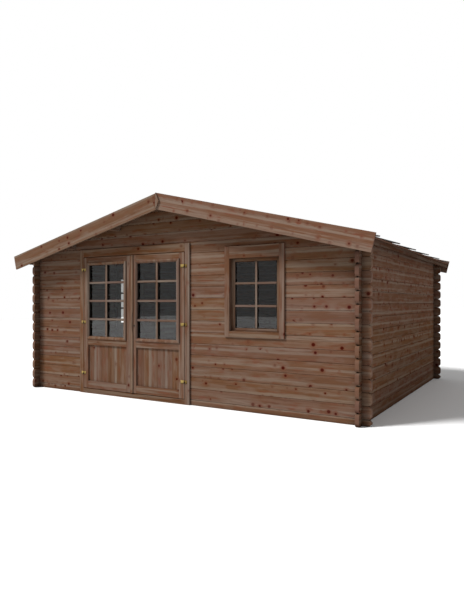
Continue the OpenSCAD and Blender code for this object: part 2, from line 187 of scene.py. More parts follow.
def wood(name, knots=0.6, tone=1.0, edge=0.0, patch=1.0, streak=0.85, side=1.0, sat=1.0, corner_shade=0.0, mid=0.0, ends=(121, 92, 79), pale=PALE, stub_shade=0.0, lines=None, rail=False, pace=1.0, band_at=(0.012, 0.020), band_half=(0.016, 0.024)):
    """Stained softwood. wd: metres along, across and into the grain; wl: place in the piece and a random number;
    we: metres from the piece's lower or right-hand edge; wg and ww: directions of the grain and of the face."""
    t = Tree(name)
    a, b, c = t.sep(t.attr("wd"))
    lb, lc, rnd = t.sep(t.attr("wl"))
    low, _, _ = t.sep(t.attr("we"))
    rnd2 = t.math("FRACT", t.mul(rnd, 7.31))
    n = t.node("ShaderNodeTexCoord").outputs["Normal"]
    end = t.smooth(t.math("ABSOLUTE", t.dot(n, t.attr("wg"))), 0.60, 0.80)
    # painted shade: faces turned away from a piece's main face are darkened by the factor side
    flank_shade = t.mul(t.smooth(t.math("ABSOLUTE", t.dot(n, t.attr("ww"))), 0.60, 0.35), t.sub(1.0, end))
    # knots
    ca, cb, cc = 0.115, 0.120, 0.09
    kv = t.vec(t.mul(a, 1 / ca), t.mul(b, 1 / cb), t.mul(c, 1 / cc))
    vor = t.node("ShaderNodeTexVoronoi", {"Vector": kv, "Scale": 1.0, "Randomness": 1.0}, voronoi_dimensions="3D", feature="F1")
    px, py, pz = t.sep(vor.outputs["Position"])
    k1, k2, k3 = t.sep(vor.outputs["Color"])
    dx = t.sub(a, t.mul(px, ca))
    dy = t.sub(b, t.mul(py, cb))
    dz = t.sub(c, t.mul(pz, cc))
    d = t.math("SQRT", t.add(t.add(t.mul(t.mul(dx, dx), 0.85), t.mul(dy, dy)), t.mul(t.mul(dz, dz), 0.10)))
    rad = t.line(k1, 0.0, 1.0, 0.0105, 0.0215)
    on = t.math("LESS_THAN", k2, knots)
    q = t.math("DIVIDE", d, rad)
    core = t.mul(t.smooth(q, 1.15, 0.70), on)
    rim = t.mul(t.smooth(q, 1.7, 1.0), on)
    halo = t.mul(t.smooth(q, 3.0, 1.0), on)
    deep = t.smooth(k3, 0.25, 0.75, 0.25, 1.0)
    # grain bends round the knots and wanders a little
    wander = t.sub(t.noise(t.vec(t.mul(a, 1.1), t.mul(b, 5.0), t.mul(c, 5.0)), detail=2.0), 0.5)
    be = t.add(t.sub(b, t.mul(t.mul(dy, halo), 0.60)), t.mul(wander, 0.014))
    blotch = t.noise(t.vec(t.mul(a, 3.6 * pace), t.mul(be, 13.0), t.mul(c, 9.0)), detail=2.0, rough=0.5)
    rusty = t.noise(t.vec(t.add(t.mul(a, 5.5 * pace), 17.0), t.mul(be, 23.0), t.mul(c, 16.0)), detail=2.0, rough=0.5)
    wide = t.noise(t.vec(t.add(t.mul(a, 1.0), 7.0), t.mul(be, 9.0), t.mul(c, 8.0)), detail=1.0, rough=0.5)
    s1 = t.noise(t.vec(t.mul(a, 0.8), t.mul(be, 21.0), t.mul(c, 14.0)), detail=3.0, rough=0.55)
    s2 = t.noise(t.vec(t.add(t.mul(a, 2.2), 31.0), t.mul(be, 62.0), t.mul(c, 30.0)), detail=3.0, rough=0.6)
    fibre = t.noise(t.vec(t.mul(a, 5.0), t.mul(be, 300.0), t.mul(c, 300.0)), detail=2.0, rough=0.6)
    # growth rings about a pith behind the piece
    ry = t.sub(lb, t.mul(t.sub(rnd2, 0.5), 0.10))
    rz = t.add(lc, 0.055)
    r = t.math("SQRT", t.add(t.mul(ry, ry), t.mul(rz, rz)))
    rings = t.math("SINE", t.mul(t.add(r, t.mul(t.sub(wide, 0.5), 0.035)), 2 * math.pi / 0.0085))
    late = t.smooth(rings, 0.15, 0.95)
    # colour: brown blotches over a rosy ground, rusty flecks, pale sapwood streaks; an optional pale band along one edge
    col = t.mix(t.mul(t.smooth(blotch, 0.42, 0.60), patch), ROSE, BROWN)
    col = t.mix(t.mul(t.smooth(wide, 0.52, 0.68), 0.50), col, UMBER)
    col = t.mix(t.mul(t.smooth(rusty, 0.54, 0.66), 0.75 * patch), col, RUST)
    col = t.mix(t.mul(t.smooth(s1, 0.47, 0.62), streak), col, PALE)
    vc = t.line(t.noise(t.vec(t.mul(a, 2.1), t.mul(rnd, 40.0), 0.0), detail=2.0), 0.3, 0.7, *band_at)
    hw = t.line(t.noise(t.vec(t.mul(a, 1.3), t.mul(rnd, 40.0), 9.0), detail=1.0), 0.3, 0.7, *band_half)
    band = t.smooth(t.math("DIVIDE", t.math("ABSOLUTE", t.sub(low, vc)), hw), 1.15, 0.35)
    band = t.mul(band, t.line(t.noise(t.vec(t.mul(a, 1.7), t.mul(rnd, 40.0), 21.0), detail=1.0), 0.3, 0.7, 0.55, 1.0))
    col = t.mix(t.mul(band, 0.85 * edge), col, pale)
    if mid > 0:
        col = t.mix(t.smooth(t.math("ABSOLUTE", lb), 0.045, 0.015, 0.0, mid), col, PALE)
    if lines is not None:  # straight sapwood lines, evenly spaced, with a browner band under each
        first, gap, half, share, under = lines
        _, _, up = t.sep(t.node("ShaderNodeTexCoord").outputs["Object"])
        off = t.mul(t.sub(t.math("FRACT", t.add(t.mul(t.sub(low if rail else up, first), 1 / gap), 0.5)), 0.5), gap)
        even = t.line(t.noise(t.vec(t.mul(a, 0.9), t.mul(rnd, 40.0), 33.0), detail=1.0), 0.3, 0.7, 0.7, 1.0)
        below = t.math("MAXIMUM", t.smooth(off, -0.7 * half, -1.4 * half), t.smooth(off, gap * 0.38, gap * 0.47))
        col = t.mix(t.mul(below, under), col, BROWN)
        col = t.mix(t.mul(t.mul(t.smooth(t.math("ABSOLUTE", off), half, half * 0.3), even), share), col, PALE)
        col = t.mix(t.mul(band, 0.85 * edge), col, pale)
    col = t.mix(t.mul(t.smooth(s2, 0.46, 0.30), 0.45), col, DARK)
    col = t.mix(t.mul(t.smooth(s1, 0.40, 0.28), 0.40), col, DARK)
    col = t.mix(t.mul(late, 0.14), col, DARK)
    col = t.mix(t.mul(t.smooth(fibre, 0.56, 0.36), 0.20), col, DARK)
    col = t.mix(t.mul(t.mul(halo, deep), 0.50), col, HALO)
    col = t.mix(t.mul(t.mul(rim, deep), 0.45), col, HALO)
    col = t.mix(t.mul(core, deep), col, MAROON)
    col = t.mix(t.mul(end, 0.9), col, t.mix(t.mul(late, 0.35), lin(*ends, LIGHT * tone), DARK))
    hsv = t.node("ShaderNodeHueSaturation", {"Hue": t.line(rnd2, 0, 1, 0.496, 0.504), "Saturation": t.line(rnd2, 0, 1, 0.97 * sat, 1.07 * sat),
                                              "Value": t.mul(t.line(rnd, 0, 1, 0.95 * tone, 1.05 * tone), t.sub(1.0, t.mul(flank_shade, 1.0 - side))), "Color": col})
    col = hsv.outputs[0]
    if corner_shade > 0:  # painted shade: darker in corners and recesses, where less ambient light reaches
        open_air = t.node("ShaderNodeAmbientOcclusion", {"Distance": 0.14}, samples=6).outputs["AO"]
        col = t.mix(t.mul(t.smooth(open_air, 0.72, 0.30), corner_shade), col, (0.008, 0.004, 0.002, 1))
    if stub_shade > 0:  # painted shade on the side faces of the crossed log ends that stand out past the front and back walls
        _, py, _ = t.sep(t.node("ShaderNodeTexCoord").outputs["Object"])
        stub_shade_mask = t.mul(t.smooth(t.math("ABSOLUTE", py), 1.905, 1.950), t.sub(1.0, end))
        col = t.mix(t.mul(stub_shade_mask, stub_shade), col, (0.012, 0.006, 0.003, 1))
    height = t.add(t.add(t.mul(fibre, 0.55), t.mul(late, -0.25)), t.mul(core, -0.6))
    return t.surface(Base_Color=col, Roughness=t.line(s2, 0.3, 0.7, 0.70, 0.84),
                     Specular_IOR_Level=0.0, Normal=t.bump(height, 0.35, 0.0012))


def felt():
    t = Tree("roof_felt")
    p = t.node("ShaderNodeTexCoord").outputs["Object"]
    speck = t.noise(p, 420.0, 2.0, 0.7)
    patch = t.noise(p, 2.2, 3.0, 0.6)
    grit = t.node("ShaderNodeTexVoronoi", {"Vector": p, "Scale": 260.0}, feature="F1")
    col = t.mix(t.smooth(speck, 0.36, 0.66), lin(54, 49, 45), lin(104, 96, 89))
    col = t.mix(t.mul(t.smooth(patch, 0.45, 0.7), 0.5), col, lin(70, 68, 60))
    h = t.add(t.mul(grit.outputs["Distance"], -0.6), speck)
    return t.surface(Base_Color=col, Roughness=t.line(speck, 0.3, 0.7, 0.82, 0.97), Specular_IOR_Level=0.25,
                     Normal=t.bump(h, 0.6, 0.0016))


def metal(name, base, dark, rough0, rough1, low_shade=0.0):
    """Worn metal; with the optional factor, painted shade darkens the low end of each fitting (hd: -1 low, 1 high)."""
    t = Tree(name)
    p = t.node("ShaderNodeTexCoord").outputs["Object"]
    n1 = t.noise(p, 60.0, 3.0, 0.6)
    n2 = t.noise(p, 700.0, 2.0, 0.6)
    col = t.mix(t.smooth(n1, 0.42, 0.68), base, dark)
    if low_shade > 0:
        h, _, _ = t.sep(t.attr("hd"))
        col = t.mix(t.mul(t.smooth(t.add(h, t.mul(t.sub(n1, 0.5), 0.6)), -0.10, -0.80), low_shade), col, (0.045, 0.026, 0.006, 1))
    return t.surface(Base_Color=col, Metallic=1.0, Roughness=t.line(n1, 0.3, 0.7, rough0, rough1),
                     Normal=t.bump(n2, 0.12, 0.0004))


def glass(name, ior):
    t = Tree(name)
    p = t.node("ShaderNodeTexCoord").outputs["Object"]
    n = t.noise(p, 3.5, 1.0, 0.5)
    film = t.noise(p, 9.0, 3.0, 0.6)
    col = t.mix(t.smooth(film, 0.45, 0.75), (0.905, 0.91, 0.90, 1), (0.875, 0.88, 0.87, 1))
    return t.surface(Base_Color=col, Roughness=0.0, IOR=ior, Transmission_Weight=1.0, Normal=t.bump(n, 0.0008, 0.002))


# near-black glazing seals: partly a real gasket, partly painted shade in the rebates beside the glass
def seal_and_shade():
    t = Tree("glazing_seal")
    p = t.node("ShaderNodeTexCoord").outputs["Object"]
    n = t.noise(p, 90.0, 3.0, 0.6)
    col = t.mix(t.smooth(n, 0.35, 0.65), (0.006, 0.0045, 0.0035, 1), (0.014, 0.010, 0.008, 1))
    return t.surface(Base_Color=col, Roughness=t.line(n, 0.3, 0.7, 0.6, 0.8), Specular_IOR_Level=0.2, Normal=t.bump(n, 0.2, 0.0006))


FRONT_LINES, SIDE_LINES, BARGE_LINES = (0.230, 0.1611, 0.021, 0.85, 0.40), (0.305, 0.1217, 0.017, 0.80, 0.35), (0.036, 0.0885, 0.017, 0.90, 0.60)
LOG = wood("log_wood", knots=0.36, tone=1.035, streak=0.62, sat=0.95, corner_shade=0.6, ends=(138, 110, 96), lines=FRONT_LINES)
LOG_BESIDE = wood("log_wood_beside_door", knots=0.36, streak=0.58, sat=0.96, corner_shade=0.6, ends=(138, 110, 96), lines=FRONT_LINES)
LOG_LEFT = wood("log_wood_left", knots=0.36, streak=0.55, corner_shade=0.6, ends=(130, 102, 88), stub_shade=0.25, lines=SIDE_LINES)
# front gable: the same logs toned down to 0.88 as painted shade under the roof overhang
LOG_GABLE_PAINTED_SHADE = wood("log_wood_gable", knots=0.36, tone=0.88, streak=0.55, sat=1.03, lines=FRONT_LINES)
# right wall: the logs toned up to 1.17 as painted light, lifting the wall that stands in shade
LOG_SIDE_PAINTED_FILL = wood("log_wood_side", knots=0.36, tone=1.17, streak=0.45, corner_shade=0.5, sat=0.97, ends=(113, 83, 69), stub_shade=0.29, lines=SIDE_LINES, pace=1.4)
BARGE_R = wood("barge_wood_right", knots=0.42, tone=1.20, patch=1.2, sat=0.98, streak=0.7, edge=0.8, band_at=(0.008, 0.012), band_half=(0.016, 0.020), lines=BARGE_LINES, rail=True)
BARGE_L = wood("barge_wood_left", knots=0.42, tone=1.03, patch=1.2, sat=0.90, streak=0.55, edge=0.5, band_at=(0.004, 0.008), band_half=(0.012, 0.016), lines=(0.040, 0.150, 0.019, 0.90, 0.75), rail=True)
JOINERY = wood("joinery_wood", knots=0.12, tone=0.96, patch=0.8, side=0.60, sat=1.0)
LEAF = wood("leaf_wood", knots=0.12, tone=0.98, patch=0.8, side=0.85, sat=0.98)
POST = wood("post_wood", knots=0.12, tone=0.98, edge=1.1, patch=0.9, streak=0.7, side=0.60, sat=0.95, pale=lin(140, 124, 111))
BAR = wood("bar_wood", knots=0.0, tone=0.95, patch=0.2, streak=1.0, side=0.60, sat=0.80)
STRIP = wood("strip_wood", knots=0.03, tone=0.95, edge=0.8, patch=0.7, streak=0.5, sat=1.02, pale=lin(140, 124, 111), band_at=(0.014, 0.018), band_half=(0.018, 0.022))
WINDOW_POST = wood("window_post_wood", knots=0.12, tone=0.99, edge=1.15, patch=1.0, streak=0.5, side=0.9, sat=0.97, pale=lin(140, 124, 111), band_at=(0.018, 0.022), band_half=(0.014, 0.018))
SASH = wood("sash_wood", knots=0.12, tone=0.96, patch=0.8, side=0.60, corner_shade=0.6)
SILL = wood("sill_wood", knots=0.12, tone=0.86, patch=0.8, side=0.60, sat=1.05)
PANEL = wood("panel_wood", knots=0.14, tone=0.97, edge=1.15, patch=0.9, streak=0.4, sat=0.95, pale=lin(140, 124, 111), band_at=(0.014, 0.018), band_half=(0.024, 0.032))
ROOFWOOD = wood("roof_wood", knots=0.40, tone=0.62)
FLOORWOOD = wood("floor_wood", knots=0.40, tone=0.60)
FELT = felt()
BRASS = metal("hinge_brass", (0.42, 0.305, 0.105, 1), (0.25, 0.17, 0.055, 1), 0.34, 0.52, low_shade=0.85)
# a darker copy of the brass: painted shade for the right frame hinge
BRASS_PAINTED_SHADE = metal("hinge_brass_worn", (0.19, 0.118, 0.034, 1), (0.10, 0.060, 0.020, 1), 0.40, 0.58, low_shade=0.85)
STEEL = metal("lock_metal", (0.045, 0.035, 0.028, 1), (0.02, 0.017, 0.014, 1), 0.35, 0.55)
GLASS = glass("pane_glass", 1.43)
GLASS_WINDOW = glass("window_glass", 1.40)
SEAL_AND_SHADE = seal_and_shade()


# ---------------------------------------------------------------- grain on every wooden piece
X, Y, Z = Vector((1, 0, 0)), Vector((0, 1, 0)), Vector((0, 0, 1))
SLOPE_R = Vector((CP, 0, -SP))
SLOPE_L = Vector((-CP, 0, -SP))


def islands(me):
    """One number per vertex: which separate solid it belongs to."""
    n = len(me.vertices)
    co = np.empty(n * 3, np.float32)
    me.vertices.foreach_get("co", co)
    co = co.reshape(-1, 3)
    keys = np.round(co / 5e-5).astype(np.int64)
    _, same = np.unique(keys, axis=0, return_inverse=True)
    same = same.reshape(-1)
    parent = list(range(int(same.max()) + 1))

    def find(i):
        while parent[i] != i:
            parent[i] = parent[parent[i]]
            i = parent[i]
        return i

    ed = np.empty(len(me.edges) * 2, np.int32)
    me.edges.foreach_get("vertices", ed)
    for i, j in same[ed].reshape(-1, 2):
        ri, rj = find(int(i)), find(int(j))
        if ri != rj:
            parent[ri] = rj
    return co, np.array([find(int(s)) for s in same])


def grain(obj, depth=None, along=None, seed=0):
    """Writes wd and wl: along the longest side unless a direction is given, depth towards the given axis."""
    me = obj.data
    co, part = islands(me)
    wd = np.zeros_like(co)
    wl = np.zeros_like(co)
    we = np.zeros_like(co)
    wg = np.zeros_like(co)
    ww = np.zeros_like(co)
    names = {p: i for i, p in enumerate(sorted(set(part.tolist()), key=lambda p: tuple(co[part == p].mean(0).round(3))))}
    for p, i in names.items():
        sel = part == p
        pts = co[sel]
        size = np.ptp(pts, axis=0)
        rg = random.Random(f"{obj.name}-{seed}-{i}")
        if along is None:
            g = np.eye(3)[int(size.argmax())]
        else:
            g = np.array(along, float)
        if depth is not None and abs(np.dot(np.array(depth, float), g)) < 0.5:
            w = np.array(depth, float)
            w = w - g * np.dot(w, g)
            w /= np.linalg.norm(w)
        else:
            rest = [k for k in range(3) if abs(g[k]) < 0.5]
            w = np.eye(3)[min(rest, key=lambda k: size[k])]
            w = w - g * np.dot(w, g)
            w /= np.linalg.norm(w)
        u = np.cross(w, g)
        if (abs(u[2]) > 0.5 and u[2] < 0) or (abs(g[2]) > 0.7 and u[0] > 0.5):
            u = -u
        mid = (pts.max(0) + pts.min(0)) / 2
        rel = pts - mid
        local = np.stack([rel @ g, rel @ u, rel @ w], 1)
        wd[sel] = local + np.array([rg.uniform(3, 60), rg.uniform(1, 9), rg.uniform(1, 9)])
        wl[sel] = np.stack([local[:, 1], local[:, 2], np.full(len(pts), rg.random())], 1)
        we[sel] = np.stack([local[:, 1] - local[:, 1].min(), np.zeros(len(pts)), np.zeros(len(pts))], 1)
        wg[sel] = g
        ww[sel] = w
    for key, val in (("wd", wd), ("wl", wl), ("we", we), ("wg", wg), ("ww", ww)):
        at = me.attributes.new(key, "FLOAT_VECTOR", "POINT")
        at.data.foreach_set("vector", val.astype(np.float32).reshape(-1))


def band_where(obj, low):
    """Rewrites we from a rule: metres across for each vertex, large where no band is wanted."""
    me = obj.data
    co = np.empty(len(me.vertices) * 3, np.float32)
    me.vertices.foreach_get("co", co)
    val = np.array([(low(v), 0.0, 0.0) for v in co.reshape(-1, 3).tolist()], np.float32)
    me.attributes["we"].data.foreach_set("vector", val.reshape(-1))


def paint(obj, mat):
    obj.data.materials.clear()
    obj.data.materials.append(mat)


def soften(obj, width, seg=2):
    """Small rounded edges on a plain sawn piece."""
    me = obj.data
    if "custom_normal" in me.attributes:
        me.attributes.remove(me.attributes["custom_normal"])
    me.polygons.foreach_set("use_smooth", np.zeros(len(me.polygons), bool))
    w = obj.modifiers.new("weld", "WELD")
    w.merge_threshold = 2e-5
    b = obj.modifiers.new("bevel", "BEVEL")
    b.width = width
    b.segments = seg
    b.limit_method = "ANGLE"
    b.angle_limit = math.radians(40)
    b.use_clamp_overlap = True


SIDE = {"left_wall", "right_wall", "left_window_posts", "left_window_head_sill", "left_window_sash", "purlins", "ridge_beam", "floor_joists"}
LOGS = ["front_wall_left", "front_wall_right", "front_gable", "back_wall", "back_gable", "left_wall", "right_wall"]
ROOFS = ["ridge_beam", "purlins"]
JOIN = ["barge_front_left", "barge_front_right", "barge_rear_left", "barge_rear_right", "gable_finials", "door_posts", "door_head",
        "door_threshold", "door_left_stiles", "door_left_rails", "door_meeting_strip", "door_right_stiles", "door_right_rails",
        "front_window_posts", "front_window_head_sill", "front_window_sash", "left_window_posts", "left_window_head_sill",
        "left_window_sash"]
for name in LOGS + ROOFS + JOIN + ["floor_joists"]:
    obj = nodes[name]
    along = None
    if name.startswith("barge_"):
        along = SLOPE_R if name.endswith("right") else SLOPE_L
    elif name == "gable_finials":
        along = Z
    grain(obj, depth=X if name in SIDE else Y, along=along, seed=3 if name == "door_left_stiles" else 0)
    paint(obj, LOG_SIDE_PAINTED_FILL if name == "right_wall" else LOG_LEFT if name == "left_wall" else LOG_GABLE_PAINTED_SHADE if name == "front_gable" else LOG_BESIDE if name == "front_wall_left" else LOG if name in LOGS else BARGE_R if name in ("barge_front_right", "barge_rear_left") else BARGE_L if name.startswith(("barge_", "gable"))
          else ROOFWOOD if name in ROOFS else FLOORWOOD if name == "floor_joists" else POST if name == "door_posts" else WINDOW_POST if name.endswith("_posts") else SASH if name.endswith("_sash")
          else SILL if name in ("door_head", "door_threshold") else STRIP if name == "door_meeting_strip" else LEAF if name.endswith(("_stiles", "_rails")) else JOINERY)
ends = nodes["purlins"].data
ends.materials.append(BARGE_L)
for f in ends.polygons:
    f.material_index = 1 if abs(f.center.x) < 2.6 else 0
for name in ("door_posts", "front_window_posts", "left_window_posts"):
    lo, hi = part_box(name)
    band_where(nodes[name], (lambda v: 1.0) if name in SIDE else (lambda v: hi.x - v[0] if v[0] > (lo.x + hi.x) / 2 else 1.0))
for name in JOIN:
    soften(nodes[name], 0.0025 if name.startswith(("barge", "gable")) else 0.002)
for name in ("door_frame_hinges", "door_left_hinges", "door_right_hinges"):
    obj = nodes[name]
    paint(obj, BRASS_PAINTED_SHADE if "frame" in name else BRASS)
    # the right frame hinge takes the darker brass as painted shade; the left one keeps the bright brass
    if "frame" in name:
        obj.data.materials.append(BRASS)
        for f in obj.data.polygons:
            f.material_index = 1 if f.center.x < 0 else 0
    # hd: height within each hinge, read by the painted shade of the brass
    at = obj.data.attributes.new("hd", "FLOAT_VECTOR", "POINT")
    for v, d in zip(obj.data.vertices, at.data):
        d.vector = (min((v.co.z - z for z in (0.285, 1.000, 1.735)), key=abs) / 0.021, 0.0, 0.0)
paint(nodes["door_lock"], STEEL)
for name in ("door_left_glass", "door_right_glass", "front_window_glass", "left_window_glass"):
    paint(nodes[name], GLASS_WINDOW if "window" in name else GLASS)


# ---------------------------------------------------------------- mesh building
class Build:
    """Collects closed solids into one mesh."""

    def __init__(self):
        self.v, self.f = [], []

    def loops(self, rings, closed=False):
        """Rings of points joined one to the next; open runs get end caps."""
        n = len(rings[0])
        base = len(self.v)
        for r in rings:
            self.v.extend(tuple(p) for p in r)
        m = len(rings)
        for i in range(m if closed else m - 1):
            j = (i + 1) % m
            for k in range(n):
                l = (k + 1) % n
                self.f.append((base + i * n + k, base + i * n + l, base + j * n + l, base + j * n + k))
        if not closed:
            self.f.append(tuple(base + k for k in reversed(range(n))))
            self.f.append(tuple(base + (m - 1) * n + k for k in range(n)))

    def run(self, outline, ends, place):
        self.loops([[place(u, v, s) for u, v in outline] for s in ends])

    def object(self, name, mat, body, grain_depth=None, along=None, bevel=0.0, wooden=True):
        me = bpy.data.meshes.new(name)
        me.from_pydata(self.v, [], self.f)
        bm = bmesh.new()
        bm.from_mesh(me)
        bmesh.ops.recalc_face_normals(bm, faces=bm.faces)
        if bevel > 0:
            sharp = [e for e in bm.edges if e.is_manifold and e.calc_face_angle(0) > math.radians(40)]
            bmesh.ops.bevel(bm, geom=sharp, offset=bevel, segments=2, profile=0.5, affect="EDGES", clamp_overlap=True)
        bm.to_mesh(me)
        bm.free()
        me.update()
        o = bpy.data.objects.new(name, me)
        scene.collection.objects.link(o)
        if wooden:
            grain(o, depth=grain_depth, along=along)
        me.materials.append(mat)
        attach(o, body)
        return o


def chamfered(u0, u1, v0, v1, ch):
    """Outline of a bar with four cut corners."""
    return [(u0 + ch, v0), (u1 - ch, v0), (u1, v0 + ch), (u1, v1 - ch), (u1 - ch, v1), (u0 + ch, v1), (u0, v1 - ch), (u0, v0 + ch)]


def bar_outline(mid, half, flat, y_glass, y_front):
    """Section of a glazing bar against the glass: square foot, steep rounded shoulder, flat front."""
    s = -1 if y_front < y_glass else 1
    deep = abs(y_front - y_glass)
    pts = [(-half, 0.0), (-half, deep * 0.62)]
    for i in range(1, 6):
        u = i / 6 * math.pi / 2
        pts.append((-half + (half - flat) * (1 - math.cos(u)), deep * (0.62 + 0.33 * math.sin(u))))
    pts += [(-flat, deep * 0.96), (-flat + 0.0012, deep)]
    pts += [(-p[0], p[1]) for p in reversed(pts)]
    return [(mid + u, y_glass + s * v) for u, v in pts]


def frame_ring(b, o, i, prof, put):
    """Four mitred sticks between an outer and an inner rectangle; prof is (share of the way in, y)."""
    (ox0, ox1, oz0, oz1), (ix0, ix1, iz0, iz1) = o, i
    corner = [((ox0, oz0), (ix0, iz0)), ((ox1, oz0), (ix1, iz0)), ((ox1, oz1), (ix1, iz1)), ((ox0, oz1), (ix0, iz1))]
    for k in range(4):
        rings = []
        for (px, pz), (qx, qz) in (corner[k], corner[(k + 1) % 4]):
            rings.append([put(px + (qx - px) * w, y, pz + (qz - pz) * w) for w, y in prof])
        b.loops(rings)


def glazing(name, body, glass_node, turn, x_bars, z_bars, half, flat, half_z, bar_y, rim, hole, rim_y, proud):
    """One sheet of glass with, on both sides, a planted moulding, its lining down to the glass, bars and dark glazing
    seals round each pane, made tall and near black as painted shade in the rebates.
    """
    lo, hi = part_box(glass_node)
    if turn:
        x0, x1, g0, g1 = -hi.y, -lo.y, lo.x, hi.x
    else:
        x0, x1, g0, g1 = lo.x, hi.x, lo.y, hi.y
    pane = (x0, x1, lo.z, hi.z)
    depth = X if turn else Y

    def put(x, y, z):
        return (y, -x, z) if turn else (x, y, z)

    ix0, ix1, iz0, iz1 = hole
    for side, yg, yb, yr, yp in (("out", g0 - 0.0002, bar_y[0], rim_y[0], proud[0]), ("in", g1 + 0.0002, bar_y[1], rim_y[1], proud[1])):
        s = -1 if yr < yg else 1
        b = Build()
        for x in x_bars:
            b.run(bar_outline(x, half, flat, yg, yb), (iz0 - 0.001, iz1 + 0.001), lambda u, v, w: put(u, v, w))
        cuts = [ix0 - 0.001] + sorted(x_bars) + [ix1 + 0.001]
        for z in z_bars:
            o = bar_outline(z, half_z, half_z - (half - flat), yg, yb - s * 0.0008)
            for i in range(len(cuts) - 1):
                e0 = cuts[i] + (half * 0.75 if i > 0 else 0)
                e1 = cuts[i + 1] - (half * 0.75 if i < len(cuts) - 2 else 0)
                b.run(o, (e0, e1), lambda u, v, w: put(w, v, u))
        b.object(f"{name}_bars_{side}", BAR, body, grain_depth=depth)
        b = Build()
        frame_ring(b, rim, hole, [(0.0, yr), (1.0, yr), (1.0, yr + s * 0.0012), (0.82, yr + (yp - yr) * 0.30), (0.68, yr + (yp - yr) * 0.62),
                                   (0.55, yr + (yp - yr) * 0.92), (0.48, yp), (0.08, yp), (0.0, yp - s * 0.003)], put)
        frame_ring(b, pane, hole, [(0.0, yg), (1.0, yg), (1.0, yr - s * 0.0003), (0.0, yr - s * 0.0003)], put)
        bead = b.object(f"{name}_bead_{side}", BAR, body, grain_depth=depth).data
        bead.materials.append(LEAF)
        for k, f in enumerate(bead.polygons):  # the level sticks are browner than the upright ones
            stick = k // 11 if k < 44 else (k - 44) // 6
            f.material_index = 1 if stick in (0, 2) else 0
        # dark seals round each pane, reaching well up the bars as painted shade
        b = Build()
        xs = [ix0] + [e for x in sorted(x_bars) for e in (x - half, x + half)] + [ix1]
        zs = [iz0] + [e for z in sorted(z_bars) for e in (z - half_z, z + half_z)] + [iz1]
        top = yg + (yb - yg) * 0.72
        for i in range(0, len(xs), 2):
            for j in range(0, len(zs), 2):
                c = (xs[i], xs[i + 1], zs[j], zs[j + 1])
                t = 0.0016
                frame_ring(b, (c[0] + 0.0001, c[1] - 0.0001, c[2] + 0.0001, c[3] - 0.0001), (c[0] + t, c[1] - t, c[2] + t, c[3] - t),
                           [(0.0, yg), (1.0, yg), (1.0, top), (0.5, top + s * 0.0006), (0.0, top)], put)
        b.object(f"{name}_seal_{side}", SEAL_AND_SHADE, body, wooden=False)


# door leaves
for leaf, xb, rim, hole in (("left", [-1.076], (-1.434, -0.706, 0.764, 1.832), (-1.398, -0.755, 0.803, 1.796)),
                            ("right", [-0.190], (-0.545, 0.180, 0.764, 1.832), (-0.515, 0.128, 0.803, 1.793))):
    glazing(f"door_{leaf}", f"door_{leaf}", f"door_{leaf}_glass", False, xb, [1.043, 1.297, 1.550], 0.0170, 0.0150, 0.0145,
            (FACE + 0.002, LEAF_BACK - 0.001), rim, hole, (FACE - 0.0002, LEAF_BACK + 0.0002), (FACE - 0.015, LEAF_BACK + 0.004))
    lo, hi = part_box(f"door_{leaf}_panel")
    b = Build()
    count = 6
    w = (hi.x - lo.x) / count
    for i in range(count):
        b.run(chamfered(lo.x + i * w + 0.0001, lo.x + (i + 1) * w - 0.0001, lo.y, hi.y, 0.0013), (lo.z, hi.z), lambda u, v, s: (u, v, s))
    boards = b.object(f"door_{leaf}_boards", PANEL, f"door_{leaf}", grain_depth=Y, along=Z)
    pale = {i: x for x in ((-1.299, -0.917) if leaf == "left" else (-0.311, -0.047)) for i in range(count)
            if lo.x + i * w - 0.03 < x < lo.x + (i + 1) * w + 0.03}
    mids = np.repeat(np.arange(count), len(b.v) // count)
    order = iter(mids.tolist())

    def across(v):
        i = next(order)
        return pale[i] + 0.016 - v[0] if i in pale else 1.0

    band_where(boards, across)
    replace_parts(boards, f"door_{leaf}_panel")

# windows
def inset(box, turn, d, first=None):
    lo, hi = box
    x0, x1 = (-hi.y, -lo.y) if turn else (lo.x, hi.x)
    return (x0 + (d if first is None else first), x1 - d, lo.z + d, hi.z - d)


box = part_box("front_window_glass")
glazing("front_window", "cabin", "front_window_glass", False, [1.244], [1.236, 1.502], 0.0140, 0.0120, 0.0130, (Y_FRONT + 0.028, Y_FRONT + 0.0615),
        inset(box, False, 0.0), inset(box, False, 0.005), (Y_FRONT + 0.041, Y_FRONT + 0.056), (Y_FRONT + 0.035, Y_FRONT + 0.061))
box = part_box("left_window_glass")
glazing("left_window", "cabin", "left_window_glass", True, [-(box[0].y + box[1].y) / 2], [1.172, 1.440], 0.0140, 0.0120, 0.0130, (-2.472, -2.4385),
        inset(box, True, 0.0), inset(box, True, 0.005, 0.032), (-2.459, -2.444), (-2.465, -2.439))

# ---------------------------------------------------------------- roof boards, floor boards
for side, s in (("right", 1), ("left", -1)):
    b = Build()
    count = 39
    w = (ROOF_Y1 - ROOF_Y0) / count
    bv = BOARD / CP
    for i in range(count):
        y0, y1 = ROOF_Y0 + i * w + 0.0004, ROOF_Y0 + (i + 1) * w - 0.0004
        out = [(y0 + 0.004, 0.0), (y1 - 0.004, 0.0), (y1, 0.004), (y1, bv), (y0, bv), (y0, 0.004)]
        b.run(out, (0.0005, EAVE), lambda u, v, x: (s * x, u, under(x) + v))
    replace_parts(b.object(f"roof_planks_{side}", ROOFWOOD, "cabin", grain_depth=Vector((s * SP, 0, CP)),
                         along=SLOPE_R if s > 0 else SLOPE_L), f"roof_boards_{side}")

